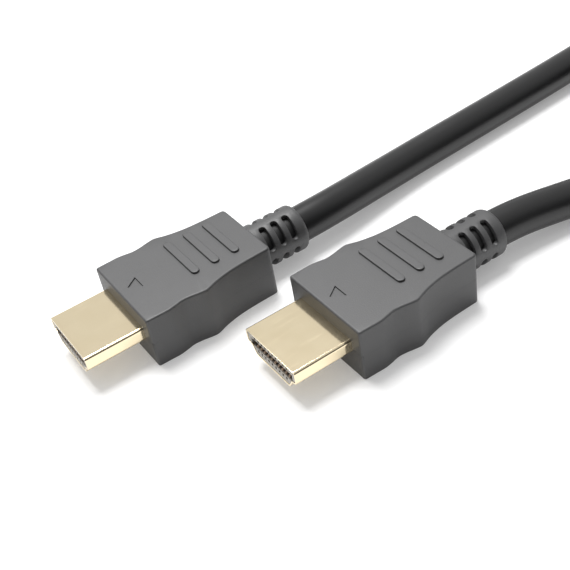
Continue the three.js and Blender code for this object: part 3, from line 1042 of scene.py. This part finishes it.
def add_pocket(carrier, sides, depth, chamfer):
    """A pocket in the face: chamfer, walls and end. Gives the hole it needs in the face."""
    y0, y1, z0, z1 = sides
    steps = [(chamfer, 0.0), (0.0, chamfer), (0.0, depth)]
    loops = [upright_box(y0 - c, y1 + c, z0 - c, z1 + c) for c, _ in steps]
    rings = [[(CARRIER_FRONT + d, y, z) for y, z in loop] for loop, (_, d) in zip(loops, steps)]
    carrier.rings(rings)
    carrier.cap(rings[-1])
    return loops[0]


def carrier_surface():
    carrier = Surface()
    slot = (-TONGUE_HALF, TONGUE_HALF, TONGUE_FLOOR, TONGUE_ROOF)
    holes = [add_pocket(carrier, slot, TONGUE_DEPTH, TONGUE_CHAMFER)]
    rows = [(UPPER_YS, TONGUE_ROOF + WINDOW_WALL), (LOWER_YS, TONGUE_FLOOR - WINDOW_WALL - WINDOW)]
    for ys, z in rows:
        for y in ys:
            sides = (y - WINDOW / 2, y + WINDOW / 2, z, z + WINDOW)
            holes.append(add_pocket(carrier, sides, WINDOW_DEPTH, WINDOW_CHAMFER))
    steps = [(0.08, 0.0), (0.02, 0.03), (0.0, 0.09)]
    loops = [shell_loop(SHELL_WALL + inset) for inset, _ in steps]
    rings = [[(CARRIER_FRONT + d, y, z) for y, z in loop] for loop, (_, d) in zip(loops, steps)]
    rings.append([(0.0, y, z) for y, z in loops[-1]])
    carrier.rings(rings)
    carrier.cap(rings[-1])
    carrier.flat(loops[0], holes, lambda y, z: (CARRIER_FRONT, y, z))
    return carrier


carrier_form = scene_object("carrier_form", carrier_surface().mesh("carrier_form"))
carrier_model = smoothed(carrier_form, "carrier_model")
place_copies(carrier_model, "contact_carrier", carrier, ["insulator"])

# %% [markdown]
# Thin ribs part the contacts along the slot's roof and floor, like the teeth of a comb. They
# repeat at the contacts' pitch, so Geometry Nodes set one rib along a line of points. The rib
# has a sloping nose, which leads the socket's tongue in.

# %% One rib
RIB_LENGTH, RIB_WIDTH, RIB_HEIGHT, RIB_NOSE = 7.6, 0.4, 0.42, 0.35
RIB_SETBACK, RIB_BEVEL = 0.2, 0.05


def rib_mesh(up):
    """A rib that stands on z = 0 and points up or down. Its nose is at x = 0."""
    rib = Surface()
    half, bevel = RIB_WIDTH / 2, RIB_BEVEL
    rings = []
    for x, size in ((0.0, 0.35), (RIB_NOSE * 0.5, 0.8), (RIB_NOSE, 1.0), (RIB_LENGTH, 1.0)):
        h = RIB_HEIGHT * size
        section = [(-half, 0.0), (half, 0.0), (half, h - bevel), (half - bevel, h)]
        section += [(bevel - half, h), (-half, h - bevel)]
        rings.append([(x, y, up * z) for y, z in section])
    rib.rings(rings)
    rib.cap(rings[0])
    rib.cap(rings[-1])
    return rib.mesh("rib")


# %% Geometry Nodes for a row of ribs
def comb_tree():
    tree = new_tree("rib_row", {
        "Rib": "NodeSocketObject", "Count": "NodeSocketInt", "Start": "NodeSocketVector",
        "Step": "NodeSocketVector", "Finish": "NodeSocketMaterial",
    })
    given = tree.nodes.new("NodeGroupInput")
    row = tree_node(
        tree, "GeometryNodeMeshLine", {"mode": "OFFSET"}, Count=given.outputs["Count"],
        Start_Location=given.outputs["Start"], Offset=given.outputs["Step"],
    )
    rib = tree_node(tree, "GeometryNodeObjectInfo", None, Object=given.outputs["Rib"])
    ribs = tree_node(
        tree, "GeometryNodeInstanceOnPoints", None,
        Points=row.outputs["Mesh"], Instance=rib.outputs["Geometry"],
    )
    end_tree(tree, ribs.outputs["Instances"], given.outputs["Finish"])
    return tree


ribs_tree = comb_tree()
rib_start = CARRIER_FRONT + RIB_SETBACK
for side, corner in PLUG_PLACES.items():
    for row, up, z, count in (("upper", -1, TONGUE_ROOF, 11), ("lower", 1, TONGUE_FLOOR, 10)):
        rib = scene_object("rib", rib_mesh(up))
        comb = scene_object("comb", bpy.data.meshes.new("comb"))
        modifier = comb.modifiers.new("ribs", "NODES")
        start = Vector(corner) + Vector((rib_start, -(count - 1) / 2 * PITCH, z)) * MM
        set_inputs(
            modifier, ribs_tree, Rib=rib, Count=count, Start=start,
            Step=(0.0, PITCH * MM, 0.0), Finish=comb_plastic,
        )
        comb = baked(comb, f"{side}_{row}_comb")
        bpy.data.objects.remove(rib, do_unlink=True)
        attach(comb, "root")
        print(comb.name, len(comb.data.polygons), "faces")

# %% Gold for the contacts
contacts = [obj for obj in bpy.data.objects if "_contact_" in obj.name and obj.name in frame["nodes"]]
for contact in contacts:
    contact.data.materials.clear()
    contact.data.materials.append(contact_gold)
print("contacts:", len(contacts))

# %% [markdown]
# ## The ties
# Each tie is one strap, pulled once round the coil and pressed onto its own start. Pulled tight,
# it runs straight between the outermost turns and bends round them. So its line comes from the
# four corner turns of the coil's section, moved outwards, and its last stretch lies on its first.

# %% The strap's line round the turns
STRAP_WIDTH, STRAP_THICKNESS = 8.0 * MM, 0.9 * MM
STRAP_REACH = CABLE_R + TIE_THICKNESS + CLEARANCE - STRAP_THICKNESS / 2
TIE_ANGLES = (50, -50)
CORNER_TURNS = [
    (CABLE_D, LOWER_Z), (CABLE_D / 2, LOWER_Z + UPPER_RISE),
    (-CABLE_D / 2, LOWER_Z + UPPER_RISE), (-CABLE_D, LOWER_Z),
]
CORNER_TURNING = [(-90, 30), (30, 90), (90, 150), (150, 270)]
BEND_STEP, STRAIGHT_STEP = 5, 1.0 * MM
STRAP_FIRST, LAP_RISE_FROM, LAP_RISE_TO, LAP_END = -25, -78, -28, 55
LAP_LIFT = 1.04


def strap_line():
    """Places across the coil's section, and the way the strap faces there."""
    stops = []
    for lap in range(2):
        for (across, z), (first, last) in zip(CORNER_TURNS, CORNER_TURNING):
            for angle in range(first, last + 1, BEND_STEP):
                stops.append((across, z, angle, lap))
    begin = next(i for i, stop in enumerate(stops) if stop[2] >= STRAP_FIRST)
    line = []
    for across, z, angle, lap in stops[begin:]:
        if lap and angle > LAP_END:
            break
        lift = ease((angle - LAP_RISE_FROM) / (LAP_RISE_TO - LAP_RISE_FROM)) if lap and angle <= 90 else 0.0
        away = STRAP_REACH + lift * STRAP_THICKNESS * LAP_LIFT
        a = math.radians(angle)
        line.append((across + away * math.cos(a), z + away * math.sin(a), a))
    return line


def finer(line, step):
    """The same line with long straight stretches cut shorter."""
    out = [line[0]]
    for start, end in zip(line, line[1:]):
        cuts = max(1, round(math.hypot(end[0] - start[0], end[1] - start[1]) / step))
        out += [tuple(a + (b - a) * k / cuts for a, b in zip(start, end)) for k in range(1, cuts + 1)]
    return out


tie_line = finer(strap_line(), STRAIGHT_STEP)
print("strap line:", len(tie_line), "places")

# %% Straps
TAIL_ROUND = 3.0 * MM
TAIL_NARROWING = 1.2


def strap_section(width):
    """A flat section with round edges: places across, and out from the coil."""
    r, half = STRAP_THICKNESS / 2, width / 2
    across = np.linspace(-half + r, half - r, 7)
    section = [(w, -r) for w in across]
    section += [(half - r + r * math.cos(a), r * math.sin(a)) for a in (-math.pi / 4, 0, math.pi / 4)]
    section += [(w, r) for w in across[::-1]]
    section += [(-half + r - r * math.cos(a), r * math.sin(a)) for a in (math.pi / 4, 0, -math.pi / 4)]
    return section


def strap_object(name, angle):
    """A strap round the coil at one angle, with its weave numbers on each corner."""
    length = np.concatenate([[0], np.cumsum([
        math.hypot(b[0] - a[0], b[1] - a[1]) for a, b in zip(tie_line, tie_line[1:])
    ])])
    turn = Matrix.Rotation(math.radians(angle), 3, "Z")
    corners, weave, count = [], [], 0
    for (across, z, facing), gone in zip(tie_line, length):
        left = length[-1] - gone
        narrowed = TAIL_ROUND - math.sqrt(max(TAIL_ROUND ** 2 - max(TAIL_ROUND - left, 0.0) ** 2, 0.0))
        section = strap_section(STRAP_WIDTH - TAIL_NARROWING * narrowed)
        count = len(section)
        for w, out in section:
            local = Vector((COIL_MEAN_R + across + out * math.cos(facing), w, z + out * math.sin(facing)))
            corners.append(COIL_CENTRE + turn @ local)
            weave.append((gone, w))
    strap = Surface()
    rings = [[tuple(corner / MM) for corner in corners[i:i + count]] for i in range(0, len(corners), count)]
    strap.rings(rings)
    strap.cap(rings[0])
    strap.cap(rings[-1])
    obj = scene_object(name, strap.mesh(name))
    tree = KDTree(len(corners))
    for i, corner in enumerate(corners):
        tree.insert(corner, i)
    tree.balance()
    nearest = [tree.find(vertex.co)[1] for vertex in obj.data.vertices]
    for part, label in enumerate(("along", "across")):
        numbers = obj.data.attributes.new(label, "FLOAT", "POINT")
        numbers.data.foreach_set("value", [weave[i][part] for i in nearest])
    obj.data.materials.append(woven)
    return smoothed(obj, name)


for i, angle in enumerate(TIE_ANGLES, 1):
    strap = strap_object(f"strap_{i}", angle)
    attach(strap, "root")
    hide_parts(f"coil_tie_{i}")

# %% [markdown]

# %% [markdown]
# ## Floor and light
# The photograph is lit from behind the plugs, so the sides that face the camera are dark, the
# shadows fall forwards, and the floor is blown out to white. One soft lamp stands high behind the
# plugs. The sky is bright behind the object and dark in front of it. The floor glows a little,
# which keeps it white without washing out the black plastic.

# %% Floor
FLOOR_REACH = 4.0
FLOOR_GREY, FLOOR_GLOW = 0.72, 0.27
floor_mesh = bpy.data.meshes.new("floor")
floor_mesh.from_pydata(
    [(x, y, 0) for x, y in ((-1, -1), (1, -1), (1, 1), (-1, 1))], [], [(0, 1, 2, 3)],
)
floor_mesh.transform(Matrix.Diagonal((FLOOR_REACH, FLOOR_REACH, 1, 1)))
floor_finish = Finish("pale_floor")
floor_mesh.materials.append(floor_finish.shader(
    Base_Color=(FLOOR_GREY, FLOOR_GREY, FLOOR_GREY, 1), Roughness=0.9,
    Emission_Color=(1, 1, 1, 1), Emission_Strength=FLOOR_GLOW,
))
floor = scene_object("floor", floor_mesh)
print("floor:", FLOOR_REACH * 2, "m wide")

# %% Sky
SKY_BACK, SKY_FRONT = 0.76, 0.06
CHANGE_FROM, CHANGE_TO = -0.35, 0.55
BACK_WAY = Vector((0.35, 0.69, 0.63))
world = bpy.data.worlds.new("studio")
world.use_nodes = True
sky = world.node_tree
way = sky.nodes.new("ShaderNodeTexCoord")
facing = sky.nodes.new("ShaderNodeVectorMath")
facing.operation = "DOT_PRODUCT"
facing.inputs[1].default_value = BACK_WAY
sky.links.new(way.outputs["Generated"], facing.inputs[0])
strength = sky.nodes.new("ShaderNodeMapRange")
strength.interpolation_type = "SMOOTHSTEP"
spread = {"From Min": CHANGE_FROM, "From Max": CHANGE_TO, "To Min": SKY_FRONT, "To Max": SKY_BACK}
for label, value in spread.items():
    strength.inputs[label].default_value = value
sky.links.new(facing.outputs["Value"], strength.inputs["Value"])
sky.links.new(strength.outputs["Result"], sky.nodes["Background"].inputs["Strength"])
sky.nodes["Background"].inputs["Color"].default_value = (1, 1, 1, 1)
bpy.context.scene.world = world
bpy.context.scene.view_settings.view_transform = "Standard"
print("sky from", SKY_FRONT, "in front to", SKY_BACK, "behind")

# %% Lamp
LAMP_PLACE = Vector((0.039, 0.219, 0.611))
LAMP_SIZE, LAMP_POWER = 0.30, 5.0
lamp_data = bpy.data.lights.new("key", "AREA")
lamp_data.size = LAMP_SIZE
lamp_data.energy = LAMP_POWER
lamp = bpy.data.objects.new("key", lamp_data)
aim = LAMP_PLACE.to_track_quat("Z", "Y").to_matrix().to_4x4()
lamp.matrix_world = Matrix.Translation(LAMP_PLACE) @ aim
bpy.context.scene.collection.objects.link(lamp)
print("lamp:", LAMP_SIZE, "m wide,", LAMP_POWER, "W")
